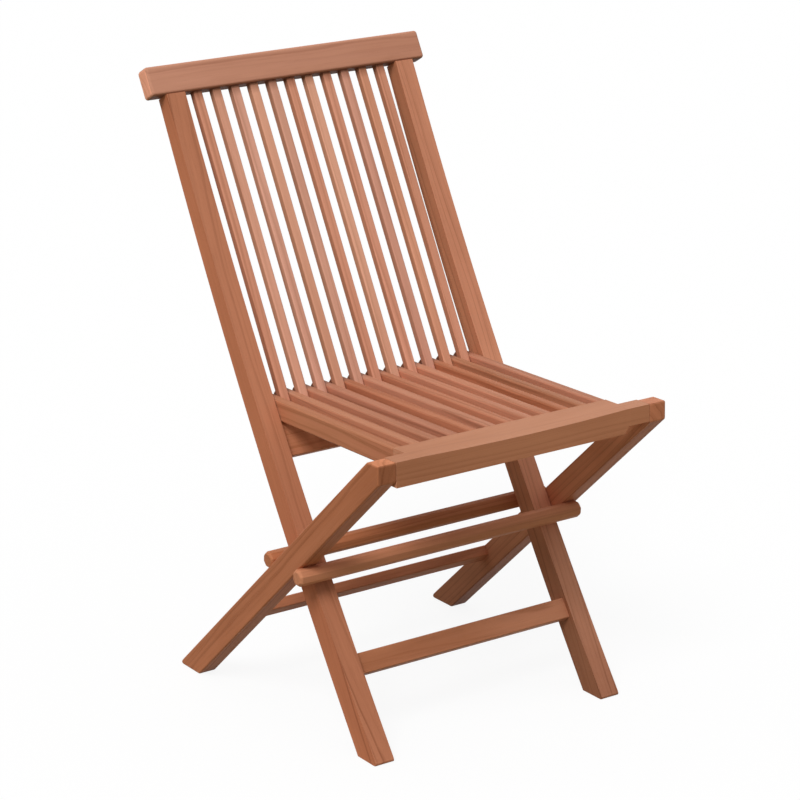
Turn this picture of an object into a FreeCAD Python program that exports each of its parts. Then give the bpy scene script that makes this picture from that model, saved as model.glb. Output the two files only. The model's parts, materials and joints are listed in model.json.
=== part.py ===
"""A folding slatted chair: a back frame, a rear leg frame and a seat that turn on each other."""

import FreeCAD
import Part
import Sketcher
import os

# Driving sizes, in millimetres and degrees. X runs to the right, Y to the rear and Z up.
sizes = {
    # Slats of the back and seat, which interleave where the seat passes the back.
    "backSlatWidth": 14.0,
    "seatSlatWidth": 14.0,
    "slatSideGap": 1.58,
    "backSlatDepth": 12.0,
    "backSlatFront": 9.0,
    "slatTenonWidth": 10.0,
    "slatTenonDepth": 8.0,
    "slatTenonLength": 14.0,
    # Sloping plane of the back, through the fronts of the stiles above the seat.
    "backStartY": 45.4,
    "backStartZ": 450.0,
    "backTilt": 28.67,
    # Stiles, bowed from the front foot to the top rail.
    "stileThick": 30.0,
    "stileFootFront": -252.2,
    "stileFootDepth": 47.0,
    "stileMiddleHeight": 435.0,
    "stileMiddleFront": 36.3,
    "stileMiddleDepth": 36.5,
    "stileTenonThick": 10.0,
    "stileTenonDepth": 16.0,
    "stileTenonLength": 26.0,
    # Top rail.
    "topRailStart": 444.6,
    "topRailFront": 2.2,
    "topRailDepth": 26.0,
    "topRailHeight": 43.0,
    "topRailOverhang": 22.5,
    # Lower back rail, on which the seat slats rest.
    "lowerRailFront": 6.0,
    "lowerRailDepth": 20.0,
    "lowerRailHeight": 52.0,
    "lowerRailTenonDepth": 10.0,
    "lowerRailTenonHeight": 36.0,
    "seatRestGap": 0.3,
    # Stretcher between the stiles, above the front feet.
    "footStretcherHeight": 114.2,
    "footStretcherSetback": 8.9,
    "footStretcherTilt": 36.0,
    "footStretcherDepth": 18.0,
    "footStretcherWidth": 30.0,
    "footStretcherTenonDepth": 9.0,
    "footStretcherTenonWidth": 20.0,
    "crossTenonLength": 16.0,
    # Rear legs and the pivot at which they cross the stiles.
    "pivotHeight": 237.0,
    "legGap": 2.0,
    "legThick": 28.0,
    "legDepth": 36.9,
    # Stretcher between the rear legs, measured down the legs from the pivot.
    "legStretcherBelow": 181.0,
    "legStretcherWidth": 24.0,
    "legStretcherDepth": 16.0,
    "legStretcherTenonDepth": 8.0,
    "legStretcherTenonWidth": 16.0,
    # Faceted cross rods on the rear legs' edges.
    "rodAcross": 23.0,
    "rodFromPivot": 37.8,
    "rodPastLeg": 1.5,
    "rodShift": 7.0,
    "rodChamfer": 3.0,
    "rodDowelDiameter": 6.0,
    "rodDowelBore": 12.0,
    # Seat, which slopes down to the rear from the back of its front rail.
    "seatStartY": -247.2,
    "seatStartZ": 450.14,
    "seatTilt": 1.65,
    "seatSlatHeight": 30.0,
    "seatTenonHeight": 18.0,
    "seatTenonLength": 14.0,
    "seatRodBehindBack": 41.5,
    "seatRodDiameter": 12.0,
    "seatRodGap": 2.0,
    "seatSlatPastRod": 16.0,
    "seatSlatEndCut": 9.0,
    "frontRailDepth": 55.0,
    "frontRailHeight": 35.0,
    "frontRailRound": 6.0,
    "frontRailGap": 1.0,
    "notchGap": 2.0,
    "rightEndRise": 10.0,
    "notchDepth": 27.0,
    # Hinges of the seat in the rear legs' tops.
    "seatHingeForward": 37.5,
    "seatHingeDrop": 16.8,
    # Pins, their holes and the clearances of the joints.
    "pinDiameter": 10.0,
    "pinInFixed": 22.0,
    "pinInLeg": 19.0,
    "pinEndRoom": 1.0,
    "runningClearance": 0.05,
    "glueGap": 0.1,
    # Softened edges.
    "edgeRound": 3.0,
    "edgeChamfer": 2.0,
    "slatRound": 1.5,
}

backSlatCount = 11
seatSlatCount = backSlatCount + 1
rodFacets = 8
sideNames = {-1: "left", 1: "right"}
pieces = []

doc = FreeCAD.newDocument("FoldingChair")
sheet = doc.addObject("Spreadsheet::Sheet", "Sizes")
for row, (alias, value) in enumerate(sizes.items(), start=1):
    sheet.set(f"A{row}", str(value))
    sheet.setAlias(f"A{row}", alias)
derived = doc.addObject("App::VarSet", "Derived")
doc.recompute()


# Sloping frames: a start point in Y and Z, and the tilt of the upward line towards the rear.
# A point in one is given by its distance out (rearwards) and along (upwards), as expressions.
def toWorld(frame, out, along):
    startY, startZ, tilt = frame
    y = f"({startY} + ({along}) * sin({tilt}) + ({out}) * cos({tilt}))"
    z = f"({startZ} + ({along}) * cos({tilt}) - ({out}) * sin({tilt}))"
    return y, z


def fromWorld(frame, point):
    startY, startZ, tilt = frame
    y, z = point
    out = f"(({y} - ({startY})) * cos({tilt}) - ({z} - ({startZ})) * sin({tilt}))"
    along = f"(({y} - ({startY})) * sin({tilt}) + ({z} - ({startZ})) * cos({tilt}))"
    return out, along


def derive(name, expression):
    derived.addProperty("App::PropertyFloat", name)
    derived.setExpression(name, expression)
    doc.recompute()


def arcDepth(points, height):
    """Y at a height on the shallow curve through three (Y, Z) points."""
    (y1, z1), (y2, z2), (y3, z3) = points
    first = f"{y1} * ({height} - {z2}) * ({height} - {z3}) / (({z1} - {z2}) * ({z1} - {z3}))"
    second = f"{y2} * ({height} - {z1}) * ({height} - {z3}) / (({z2} - {z1}) * ({z2} - {z3}))"
    third = f"{y3} * ({height} - {z1}) * ({height} - {z2}) / (({z3} - {z1}) * ({z3} - {z2}))"
    return f"({first} + {second} + {third})"


worldFrame = ("0", "0", "0")
backFrame = ("Sizes.backStartY", "Sizes.backStartZ", "Sizes.backTilt")
seatFrame = ("Sizes.seatStartY", "Sizes.seatStartZ", "Sizes.seatTilt")
stretcherFrame = ("Derived.stretcherY", "Sizes.footStretcherHeight", "Sizes.footStretcherTilt")
legFrame = ("Derived.pivotY", "Sizes.pivotHeight", "-Derived.legTilt")

topRear = "Sizes.topRailFront + Sizes.topRailDepth"
stileFront = (
    ("Sizes.stileFootFront", "0"),
    ("Sizes.stileMiddleFront", "Sizes.stileMiddleHeight"),
    toWorld(backFrame, "Sizes.topRailFront", "Sizes.topRailStart"),
)
stileRear = (
    ("(Sizes.stileFootFront + Sizes.stileFootDepth)", "0"),
    ("(Sizes.stileMiddleFront + Sizes.stileMiddleDepth)", "Sizes.stileMiddleHeight"),
    toWorld(backFrame, topRear, "Sizes.topRailStart"),
)


def deriveSizes():
    """Work out the places that follow from the driving sizes."""
    derive("pitch", "Sizes.backSlatWidth + Sizes.seatSlatWidth + 2 * Sizes.slatSideGap")
    derive("halfInside", f"Derived.pitch * {backSlatCount} / 2 + Sizes.seatSlatWidth / 2 + Sizes.slatSideGap")
    derive("stileMiddle", "Derived.halfInside + Sizes.stileThick / 2")
    derive("legInside", "Derived.halfInside + Sizes.stileThick + Sizes.legGap")
    derive("legMiddle", "Derived.legInside + Sizes.legThick / 2")
    derive("railHalf", "Derived.legInside - Sizes.frontRailGap")
    front = arcDepth(stileFront, "Sizes.footStretcherHeight")
    derive("stretcherY", f"{front} + Sizes.footStretcherSetback")
    front = arcDepth(stileFront, "Sizes.pivotHeight")
    rear = arcDepth(stileRear, "Sizes.pivotHeight")
    derive("pivotY", f"({front} + {rear}) / 2")
    # The rear leg's middle line runs through the pivot and the seat's hinge.
    hinge = toWorld(seatFrame, "-Sizes.seatHingeForward", "-Sizes.seatHingeDrop")
    derive("hingeY", hinge[0])
    derive("hingeZ", hinge[1])
    rise = "(Derived.hingeZ - Sizes.pivotHeight)"
    derive("legTilt", f"atan((Derived.pivotY - Derived.hingeY) / {rise}) / 1 deg")
    # The lower rail's rounded front top edge lies just under the seat slats.
    corner = fromWorld(seatFrame, ("Sizes.backStartY", "Sizes.backStartZ"))[1]
    lean = "(Sizes.backTilt - Sizes.seatTilt)"
    rounding = f"Sizes.slatRound * (cos({lean}) + sin({lean}) - 1)"
    level = f"{rounding} - Sizes.seatSlatHeight - Sizes.seatRestGap - {corner}"
    derive("lowerRailTop", f"(Sizes.lowerRailFront * sin({lean}) + {level}) / cos({lean})")
    # The seat's rear rod lies at half the slats' height, a set distance behind the back's plane.
    offset = fromWorld(backFrame, ("Sizes.seatStartY", "Sizes.seatStartZ"))[0]
    reach = f"(Sizes.seatRodBehindBack - {offset} - Sizes.seatSlatHeight / 2 * sin({lean}))"
    derive("seatRodOut", f"{reach} / cos({lean})")


# Modelling helpers.
def place(piece, frame, across="0"):
    startY, startZ, tilt = frame
    piece.Placement = FreeCAD.Placement(FreeCAD.Vector(), FreeCAD.Rotation(FreeCAD.Vector(1, 0, 0), 1))
    piece.setExpression("Placement.Base.x", across)
    piece.setExpression("Placement.Base.y", startY)
    piece.setExpression("Placement.Base.z", startZ)
    piece.setExpression("Placement.Rotation.Angle", f"-({tilt})")


def newBody(name, frame, across="0"):
    body = doc.addObject("PartDesign::Body", name)
    body.Label = name
    place(body, frame, across)
    pieces.append(body)
    return body


def originFeature(body, role):
    return next(feature for feature in body.Origin.OriginFeatures if feature.Role == role)


def newSketch(body, role="YZ_Plane", lift="0"):
    sketch = body.newObject("Sketcher::SketchObject", "Sketch")
    sketch.AttachmentSupport = (originFeature(body, role), [""])
    sketch.MapMode = "FlatFace"
    sketch.setExpression("AttachmentOffset.Base.z", lift)
    return sketch


def worked(sketch, point):
    return FreeCAD.Vector(*(float(sketch.evalExpression(f"({text}) * 1.0")) for text in point), 0)


def fixPoint(sketch, geometry, position, point):
    values = worked(sketch, point)
    for kind, value, text in zip(("DistanceX", "DistanceY"), values, point):
        number = sketch.addConstraint(Sketcher.Constraint(kind, -1, 1, geometry, position, value))
        sketch.setExpression(f"Constraints[{number}]", text)


def drawOutline(sketch, corners, bows=None):
    """Close an outline through corner expressions; bows gives a side's middle point, for an arc."""
    bows = bows or {}
    ends = []
    for side, corner in enumerate(corners):
        start = worked(sketch, corner)
        finish = worked(sketch, corners[(side + 1) % len(corners)])
        if side not in bows:
            ends.append((sketch.addGeometry(Part.LineSegment(start, finish)), 1, 2))
            continue
        arc = sketch.addGeometry(Part.Arc(start, worked(sketch, bows[side]), finish))
        forward = sketch.getPoint(arc, 1).distanceToPoint(start) < 1
        ends.append((arc, 1, 2) if forward else (arc, 2, 1))
    for side, corner in enumerate(corners):
        geometry, startEnd, finishEnd = ends[side]
        following = ends[(side + 1) % len(corners)]
        sketch.addConstraint(Sketcher.Constraint("Coincident", geometry, finishEnd, following[0], following[1]))
        fixPoint(sketch, geometry, startEnd, corner)
    for side, middle in bows.items():
        point = sketch.addGeometry(Part.Point(worked(sketch, middle)), True)
        fixPoint(sketch, point, 1, middle)
        sketch.addConstraint(Sketcher.Constraint("PointOnObject", point, 1, ends[side][0]))


def drawBox(sketch, low, high):
    corners = [low, (high[0], low[1]), high, (low[0], high[1])]
    drawOutline(sketch, corners)


def drawCircle(sketch, centre, radius):
    size = float(sketch.evalExpression(f"({radius}) * 1.0"))
    circle = sketch.addGeometry(Part.Circle(worked(sketch, centre), FreeCAD.Vector(0, 0, 1), size))
    fixPoint(sketch, circle, 3, centre)
    number = sketch.addConstraint(Sketcher.Constraint("Radius", circle, size))
    sketch.setExpression(f"Constraints[{number}]", radius)


def pad(body, sketch, length, towards=0):
    """Pad along the sketch's normal (1), against it (-1) or both ways (0)."""
    feature = body.newObject("PartDesign::Pad", "Pad")
    feature.Profile = sketch
    feature.SideType = "One side" if towards else "Symmetric"
    feature.Reversed = towards < 0
    feature.setExpression("Length", length)
    doc.recompute()
    return feature


def pocket(body, sketch, depth, towards=0):
    """Cut along the sketch's normal (1), against it (-1) or both ways (0)."""
    before = body.Shape.Volume
    feature = body.newObject("PartDesign::Pocket", "Pocket")
    feature.Profile = sketch
    feature.SideType = "One side" if towards else "Symmetric"
    feature.Reversed = towards > 0
    feature.setExpression("Length", depth)
    doc.recompute()
    if body.Shape.Volume >= before:
        raise RuntimeError(f"{body.Label}: a pocket cuts nothing")
    return feature


def repeatAcross(body, feature, count, pitch):
    pattern = body.newObject("PartDesign::LinearPattern", "Pattern")
    pattern.Originals = [feature]
    pattern.Direction = (originFeature(body, "X_Axis"), [""])
    pattern.setExpression("Length", f"{pitch} * {count - 1}")
    pattern.Occurrences = count
    body.Tip = pattern
    doc.recompute()


def mirrorAcross(body, features):
    mirrored = body.newObject("PartDesign::Mirrored", "Mirrored")
    mirrored.Originals = features
    mirrored.MirrorPlane = (originFeature(body, "YZ_Plane"), [""])
    body.Tip = mirrored
    doc.recompute()


def soften(body, feature, radius, wanted, kind="PartDesign::Fillet"):
    """Round or chamfer those edges of a feature for which wanted(edge) holds."""
    names = [f"Edge{number}" for number, edge in enumerate(feature.Shape.Edges, start=1) if wanted(edge)]
    softened = body.newObject(kind, "Soft")
    softened.Base = (feature, names)
    softened.setExpression("Radius" if kind.endswith("Fillet") else "Size", radius)
    doc.recompute()
    return softened


def runsAlong(edge, axis):
    if not isinstance(edge.Curve, Part.Line):
        return False
    return abs(edge.tangentAt(edge.FirstParameter).dot(axis)) > 0.999


def alongX(edge):
    return runsAlong(edge, FreeCAD.Vector(1, 0, 0))


def alongY(edge):
    return runsAlong(edge, FreeCAD.Vector(0, 1, 0))


def alongZ(edge):
    return runsAlong(edge, FreeCAD.Vector(0, 0, 1))


# Back frame.
def buildStile(side):
    body = newBody(f"stile_{sideNames[side]}", worldFrame, f"{side} * Derived.halfInside")
    outline = newSketch(body)
    corners = [stileFront[0], stileRear[0], stileRear[2], stileFront[2]]
    drawOutline(outline, corners, {1: stileRear[1], 3: stileFront[1]})
    blank = pad(body, outline, "Sizes.stileThick", side)
    soften(
        body, blank, "Sizes.edgeChamfer", lambda edge: not isinstance(edge.Curve, Part.Line),
        "PartDesign::Chamfer")

    tenon = newSketch(body, lift=f"{side} * (Sizes.stileThick - Sizes.stileTenonThick) / 2")
    out = "(Sizes.topRailFront + Sizes.topRailDepth / 2)"
    start = "Sizes.topRailStart - Sizes.stileTenonDepth / 2"
    drawTenon(tenon, backFrame, out, "Sizes.stileTenonDepth", start, "Sizes.topRailStart + Sizes.stileTenonLength")
    pad(body, tenon, "Sizes.stileTenonThick", side)

    mortises = newSketch(body)
    gap = "2 * Sizes.glueGap"
    out = "(Sizes.lowerRailFront + Sizes.lowerRailDepth / 2)"
    middle = "(Derived.lowerRailTop - Sizes.lowerRailHeight / 2)"
    half = "(Sizes.lowerRailTenonHeight / 2 + Sizes.glueGap)"
    drawTenon(mortises, backFrame, out, f"Sizes.lowerRailTenonDepth + {gap}", f"{middle} - {half}", f"{middle} + {half}")
    half = "(Sizes.footStretcherTenonWidth / 2 + Sizes.glueGap)"
    out = "(Sizes.footStretcherDepth / 2)"
    drawTenon(mortises, stretcherFrame, out, f"Sizes.footStretcherTenonDepth + {gap}", f"-{half}", half)
    pocket(body, mortises, "Sizes.crossTenonLength + Sizes.glueGap", side)

    bore = newSketch(body, lift=f"{side} * Sizes.stileThick")
    drawCircle(bore, ("Derived.pivotY", "Sizes.pivotHeight"), "Sizes.pinDiameter / 2")
    pocket(body, bore, "Sizes.pinInFixed", -side)


def drawTenon(sketch, frame, out, depth, low, high):
    """A rectangle square to a sloping frame, drawn on the world's side plane."""
    near = f"{out} - ({depth}) / 2"
    far = f"{out} + ({depth}) / 2"
    corners = [toWorld(frame, *point) for point in ((near, low), (far, low), (far, high), (near, high))]
    drawOutline(sketch, corners)


def buildTopRail():
    body = newBody("top_rail", backFrame)
    section = newSketch(body)
    top = "Sizes.topRailStart + Sizes.topRailHeight"
    drawBox(section, ("Sizes.topRailFront", "Sizes.topRailStart"), (topRear, top))
    length = "2 * (Derived.halfInside + Sizes.stileThick + Sizes.topRailOverhang)"
    blank = pad(body, section, length)
    ended = soften(body, blank, "Sizes.edgeRound", alongX)
    soften(body, ended, "Sizes.edgeChamfer", lambda edge: not alongX(edge), "PartDesign::Chamfer")

    out = "(Sizes.topRailFront + Sizes.topRailDepth / 2)"
    sockets = newSketch(body, "XY_Plane", "Sizes.topRailStart")
    for side in sideNames:
        across = f"({side} * Derived.stileMiddle)"
        drawPeg(sockets, across, "Sizes.stileTenonThick", out, "Sizes.stileTenonDepth")
    pocket(body, sockets, "Sizes.stileTenonLength + Sizes.glueGap", 1)
    cutSlatMortises(body, "Sizes.topRailStart", 1)


def drawPeg(sketch, across, width, out, depth, gap="Sizes.glueGap"):
    """A rectangle about a middle point, grown all round by a gap."""
    low = (f"{across} - ({width}) / 2 - {gap}", f"{out} - ({depth}) / 2 - {gap}")
    high = (f"{across} + ({width}) / 2 + {gap}", f"{out} + ({depth}) / 2 + {gap}")
    drawBox(sketch, low, high)


def cutSlatMortises(body, level, towards):
    mortise = newSketch(body, "XY_Plane", level)
    across = f"(-Derived.pitch * {backSlatCount - 1} / 2)"
    out = "(Sizes.backSlatFront + Sizes.backSlatDepth / 2)"
    drawPeg(mortise, across, "Sizes.slatTenonWidth", out, "Sizes.slatTenonDepth")
    cut = pocket(body, mortise, "Sizes.slatTenonLength + Sizes.glueGap", towards)
    repeatAcross(body, cut, backSlatCount, "Derived.pitch")


def buildBackSlat(number):
    across = f"Derived.pitch * {number - (backSlatCount + 1) / 2}"
    body = newBody(f"back_slat_{number:02d}", backFrame, across)
    out = "(Sizes.backSlatFront + Sizes.backSlatDepth / 2)"
    section = newSketch(body, "XY_Plane", "Derived.lowerRailTop")
    drawPeg(section, "0", "Sizes.backSlatWidth", out, "Sizes.backSlatDepth", "0")
    blank = pad(body, section, "Sizes.topRailStart - Derived.lowerRailTop", 1)
    soften(body, blank, "Sizes.slatRound", alongZ)
    core = newSketch(body, "XY_Plane", "Derived.lowerRailTop - Sizes.slatTenonLength")
    drawPeg(core, "0", "Sizes.slatTenonWidth", out, "Sizes.slatTenonDepth", "0")
    pad(body, core, "Sizes.topRailStart - Derived.lowerRailTop + 2 * Sizes.slatTenonLength", 1)


def buildCrossRail(name, frame, out, depth, along, width, tenonDepth, tenonWidth, half):
    """A straight cross member with a tenon at each end, in a sloping frame."""
    body = newBody(name, frame)
    section = newSketch(body)
    drawPeg(section, out, depth, along, width, "0")
    blank = pad(body, section, f"2 * {half}")
    soften(body, blank, "Sizes.slatRound", alongX)
    core = newSketch(body)
    drawPeg(core, out, tenonDepth, along, tenonWidth, "0")
    pad(body, core, f"2 * ({half} + Sizes.crossTenonLength)")
    return body


def buildLowerRail():
    body = buildCrossRail(
        "lower_back_rail", backFrame,
        "(Sizes.lowerRailFront + Sizes.lowerRailDepth / 2)", "Sizes.lowerRailDepth",
        "(Derived.lowerRailTop - Sizes.lowerRailHeight / 2)", "Sizes.lowerRailHeight",
        "Sizes.lowerRailTenonDepth", "Sizes.lowerRailTenonHeight", "Derived.halfInside")
    cutSlatMortises(body, "Derived.lowerRailTop", -1)


def buildFootStretcher():
    buildCrossRail(
        "front_foot_stretcher", stretcherFrame,
        "(Sizes.footStretcherDepth / 2)", "Sizes.footStretcherDepth",
        "0", "Sizes.footStretcherWidth",
        "Sizes.footStretcherTenonDepth", "Sizes.footStretcherTenonWidth", "Derived.halfInside")


def buildPin(name, side, frame, root):
    """A pin held in a fixed piece whose outer face is at root, standing out into the rear leg's bore."""
    body = newBody(name, frame, f"{side} * ({root} - Sizes.pinInFixed)")
    circle = newSketch(body)
    drawCircle(circle, ("0", "0"), "Sizes.pinDiameter / 2")
    pad(body, circle, f"Sizes.pinInFixed + Derived.legInside - {root} + Sizes.pinInLeg", side)


# Rear leg frame.
def legEdge(sign):
    return f"({sign} * Sizes.legDepth / 2)"


def legFoot(sign):
    """Distance along the leg at which one of its edges meets the floor."""
    return f"(-(Sizes.pivotHeight + {legEdge(sign)} * sin(Derived.legTilt)) / cos(Derived.legTilt))"


def legTopEdge(sign):
    """Distance along the leg at which its edge meets the plane of the seat's top."""
    height = fromWorld(seatFrame, ("Derived.pivotY", "Sizes.pivotHeight"))[1]
    turned = "(Derived.legTilt + Sizes.seatTilt)"
    return f"((-{height} - {legEdge(sign)} * sin{turned}) / cos{turned})"


def legFrontEdge(sign):
    """Distance along the leg at which its edge meets the plane of the seat rail's front."""
    depth = fromWorld(seatFrame, ("Derived.pivotY", "Sizes.pivotHeight"))[0]
    turned = "(Derived.legTilt + Sizes.seatTilt)"
    return f"(({depth} + Sizes.frontRailDepth + {legEdge(sign)} * cos{turned}) / sin{turned})"


def buildLeg(side):
    body = newBody(f"rear_leg_{sideNames[side]}", legFrame, f"{side} * Derived.legInside")
    outline = newSketch(body)
    nose = fromWorld(legFrame, toWorld(seatFrame, "-Sizes.frontRailDepth", "0"))
    drawOutline(outline, [
        (legEdge(-1), legFoot(-1)),
        (legEdge(1), legFoot(1)),
        (legEdge(1), legTopEdge(1)),
        nose,
        (legEdge(-1), legFrontEdge(-1)),
    ])
    blank = pad(body, outline, "Sizes.legThick", side)
    ended = soften(body, blank, "Sizes.edgeRound", alongX)
    soften(body, ended, "Sizes.edgeChamfer", alongZ, "PartDesign::Chamfer")

    bores = newSketch(body)
    radius = "Sizes.pinDiameter / 2 + Sizes.runningClearance"
    drawCircle(bores, ("0", "0"), radius)
    drawCircle(bores, fromWorld(legFrame, ("Derived.hingeY", "Derived.hingeZ")), radius)
    pocket(body, bores, "Sizes.pinInLeg + Sizes.pinEndRoom", side)

    mortise = newSketch(body)
    out = "(Sizes.legDepth / 2 - Sizes.legStretcherDepth / 2)"
    along = "(-Sizes.legStretcherBelow - Sizes.legStretcherWidth / 2)"
    drawPeg(mortise, out, "Sizes.legStretcherTenonDepth", along, "Sizes.legStretcherTenonWidth")
    pocket(body, mortise, "Sizes.crossTenonLength + Sizes.glueGap", side)
    for edge in (-1, 1):
        cutDowelBores(body, edge, edge, [f"{side} * Sizes.legThick / 2"])


def cutDowelBores(body, edge, towards, places):
    """Bores for the rods' dowels, square to the leg's lower (-1) or upper (1) edge."""
    bores = newSketch(body, "XZ_Plane", f"-{legEdge(edge)}")
    for across in places:
        centre = (across, f"-({edge}) * Sizes.rodFromPivot")
        drawCircle(bores, centre, "Sizes.rodDowelDiameter / 2")
    pocket(body, bores, "Sizes.rodDowelBore", towards)


def buildLegStretcher():
    buildCrossRail(
        "rear_leg_stretcher", legFrame,
        "(Sizes.legDepth / 2 - Sizes.legStretcherDepth / 2)", "Sizes.legStretcherDepth",
        "(-Sizes.legStretcherBelow - Sizes.legStretcherWidth / 2)", "Sizes.legStretcherWidth",
        "Sizes.legStretcherTenonDepth", "Sizes.legStretcherTenonWidth", "Derived.legInside")


def buildRod(name, edge):
    """A faceted rod whose flat lies on the rear legs' lower (-1) or upper (1) edge."""
    body = newBody(name, legFrame, f"({edge} * Sizes.rodShift)")
    section = newSketch(body)
    step = 360 / rodFacets
    radius = f"(Sizes.rodAcross / 2 / cos({step / 2}))"
    out = f"({edge} * (Sizes.legDepth + Sizes.rodAcross) / 2)"
    along = f"(-({edge}) * Sizes.rodFromPivot)"
    corners = []
    for facet in range(rodFacets):
        angle = step * (facet + 0.5)
        corners.append((f"{out} + {radius} * cos({angle})", f"{along} + {radius} * sin({angle})"))
    drawOutline(section, corners)
    blank = pad(body, section, "2 * (Derived.legInside + Sizes.legThick + Sizes.rodPastLeg)")
    soften(body, blank, "Sizes.rodChamfer", lambda rim: not alongX(rim), "PartDesign::Chamfer")
    places = [f"{side} * Derived.legMiddle - ({edge}) * Sizes.rodShift" for side in sideNames]
    cutDowelBores(body, edge, -edge, places)


def buildRodDowels():
    dowels = []
    for side in sideNames:
        for edge in (-1, 1):
            dowel = doc.addObject("Part::Cylinder", "Dowel")
            dowel.setExpression("Radius", "Sizes.rodDowelDiameter / 2")
            dowel.setExpression("Height", "2 * (Sizes.rodDowelBore - Sizes.pinEndRoom)")
            out = f"{legEdge(edge)} - (Sizes.rodDowelBore - Sizes.pinEndRoom)"
            startY, startZ = toWorld(legFrame, out, f"-({edge}) * Sizes.rodFromPivot")
            place(dowel, (startY, startZ, "90 - Derived.legTilt"), f"{side} * Derived.legMiddle")
            dowels.append(dowel)
    group = doc.addObject("Part::Compound", "rod_dowels")
    group.Links = dowels
    pieces.append(group)


# Seat.
def buildFrontRail():
    body = newBody("seat_front_rail", seatFrame)
    section = newSketch(body)
    drawBox(section, ("-Sizes.frontRailDepth", "-Sizes.frontRailHeight"), ("0", "0"))
    blank = pad(body, section, "2 * Derived.railHalf")
    middle = blank.Shape.CenterOfMass.z
    rounded = soften(
        body, blank, "Sizes.frontRailRound", lambda edge: alongX(edge) and edge.CenterOfMass.z > middle)
    soften(body, rounded, "Sizes.slatRound", lambda edge: alongX(edge) and edge.CenterOfMass.z < middle)

    # Each end is stepped back at the rear, so that it passes the stile when the chair is folded.
    past = "Sizes.frontRailHeight"
    below = f"-2 * {past}"
    endLength = "Derived.railHalf - (Derived.halfInside - Sizes.notchGap)"
    notch = newSketch(body, lift="Derived.railHalf")
    drawBox(notch, ("-Sizes.notchDepth", below), (past, past))
    step = pocket(body, notch, endLength, -1)
    bore = newSketch(body, lift="Derived.railHalf")
    drawCircle(bore, ("-Sizes.seatHingeForward", "-Sizes.seatHingeDrop"), "Sizes.pinDiameter / 2")
    hole = pocket(body, bore, "Sizes.pinInFixed", -1)
    mirrorAcross(body, [step, hole])

    # The right end is cut away underneath.
    under = newSketch(body, lift="Derived.railHalf")
    drawBox(under, ("-2 * Sizes.frontRailDepth", below), (past, "-Sizes.frontRailHeight + Sizes.rightEndRise"))
    pocket(body, under, endLength, -1)

    mortise = newSketch(body, "XZ_Plane")
    across = f"(-Derived.pitch * {seatSlatCount - 1} / 2)"
    drawPeg(mortise, across, "Sizes.slatTenonWidth", "(-Sizes.seatSlatHeight / 2)", "Sizes.seatTenonHeight")
    cut = pocket(body, mortise, "Sizes.seatTenonLength + Sizes.glueGap", 1)
    repeatAcross(body, cut, seatSlatCount, "Derived.pitch")


def buildSeatSlat(number):
    across = f"Derived.pitch * {number - (seatSlatCount + 1) / 2}"
    body = newBody(f"seat_slat_{number:02d}", seatFrame, across)
    profile = newSketch(body)
    drawBox(profile, ("0", "-Sizes.seatSlatHeight"), ("Derived.seatRodOut + Sizes.seatSlatPastRod", "0"))
    blank = pad(body, profile, "Sizes.seatSlatWidth")
    ended = soften(
        body, blank, "Sizes.seatSlatEndCut", lambda edge: alongX(edge) and edge.CenterOfMass.y > 1,
        "PartDesign::Chamfer")
    middle = blank.Shape.CenterOfMass.z
    soften(body, ended, "Sizes.slatRound", lambda edge: alongY(edge) and edge.CenterOfMass.z > middle)
    tenon = newSketch(body)
    low = "-(Sizes.seatSlatHeight + Sizes.seatTenonHeight) / 2"
    high = "-(Sizes.seatSlatHeight - Sizes.seatTenonHeight) / 2"
    drawBox(tenon, ("-Sizes.seatTenonLength", low), ("Sizes.seatTenonLength", high))
    pad(body, tenon, "Sizes.slatTenonWidth")
    bore = newSketch(body)
    centre = ("Derived.seatRodOut", "-Sizes.seatSlatHeight / 2")
    drawCircle(bore, centre, "Sizes.seatRodDiameter / 2 + Sizes.runningClearance")
    pocket(body, bore, "2 * Sizes.seatSlatWidth")


def buildSeatRod():
    body = newBody("seat_rear_rod", seatFrame)
    circle = newSketch(body)
    drawCircle(circle, ("Derived.seatRodOut", "-Sizes.seatSlatHeight / 2"), "Sizes.seatRodDiameter / 2")
    pad(body, circle, "2 * (Derived.halfInside - Sizes.seatRodGap)")


def buildChair():
    deriveSizes()
    hingeFrame = ("Derived.hingeY", "Derived.hingeZ", "0")
    for side, sideName in sideNames.items():
        buildStile(side)
        buildPin(f"pivot_pin_{sideName}", side, legFrame, "(Derived.halfInside + Sizes.stileThick)")
        buildLeg(side)
        buildPin(f"seat_hinge_dowel_{sideName}", side, hingeFrame, "Derived.railHalf")
    buildTopRail()
    for number in range(1, backSlatCount + 1):
        buildBackSlat(number)
    buildLowerRail()
    buildFootStretcher()
    buildLegStretcher()
    buildRod("cross_rod_front", -1)
    buildRod("cross_rod_rear", 1)
    buildRodDowels()
    buildFrontRail()
    for number in range(1, seatSlatCount + 1):
        buildSeatSlat(number)
    buildSeatRod()


def checkAndExport():
    doc.recompute()
    for thing in doc.Objects:
        if "Invalid" in thing.State or "Error" in thing.State:
            raise RuntimeError(f"{thing.Label} did not rebuild: {thing.State}")
    os.makedirs("parts", exist_ok=True)
    for piece in pieces:
        if piece.Shape.isNull() or not piece.Shape.isValid():
            raise RuntimeError(f"{piece.Label} has no valid shape")
        piece.Shape.exportStep(f"parts/{piece.Label}.step")
    print(f"{len(pieces)} pieces written")


buildChair()
checkAndExport()
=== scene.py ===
import json
import math
import bmesh
import bpy
import numpy as np
from mathutils import Matrix, Vector, geometry


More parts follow.
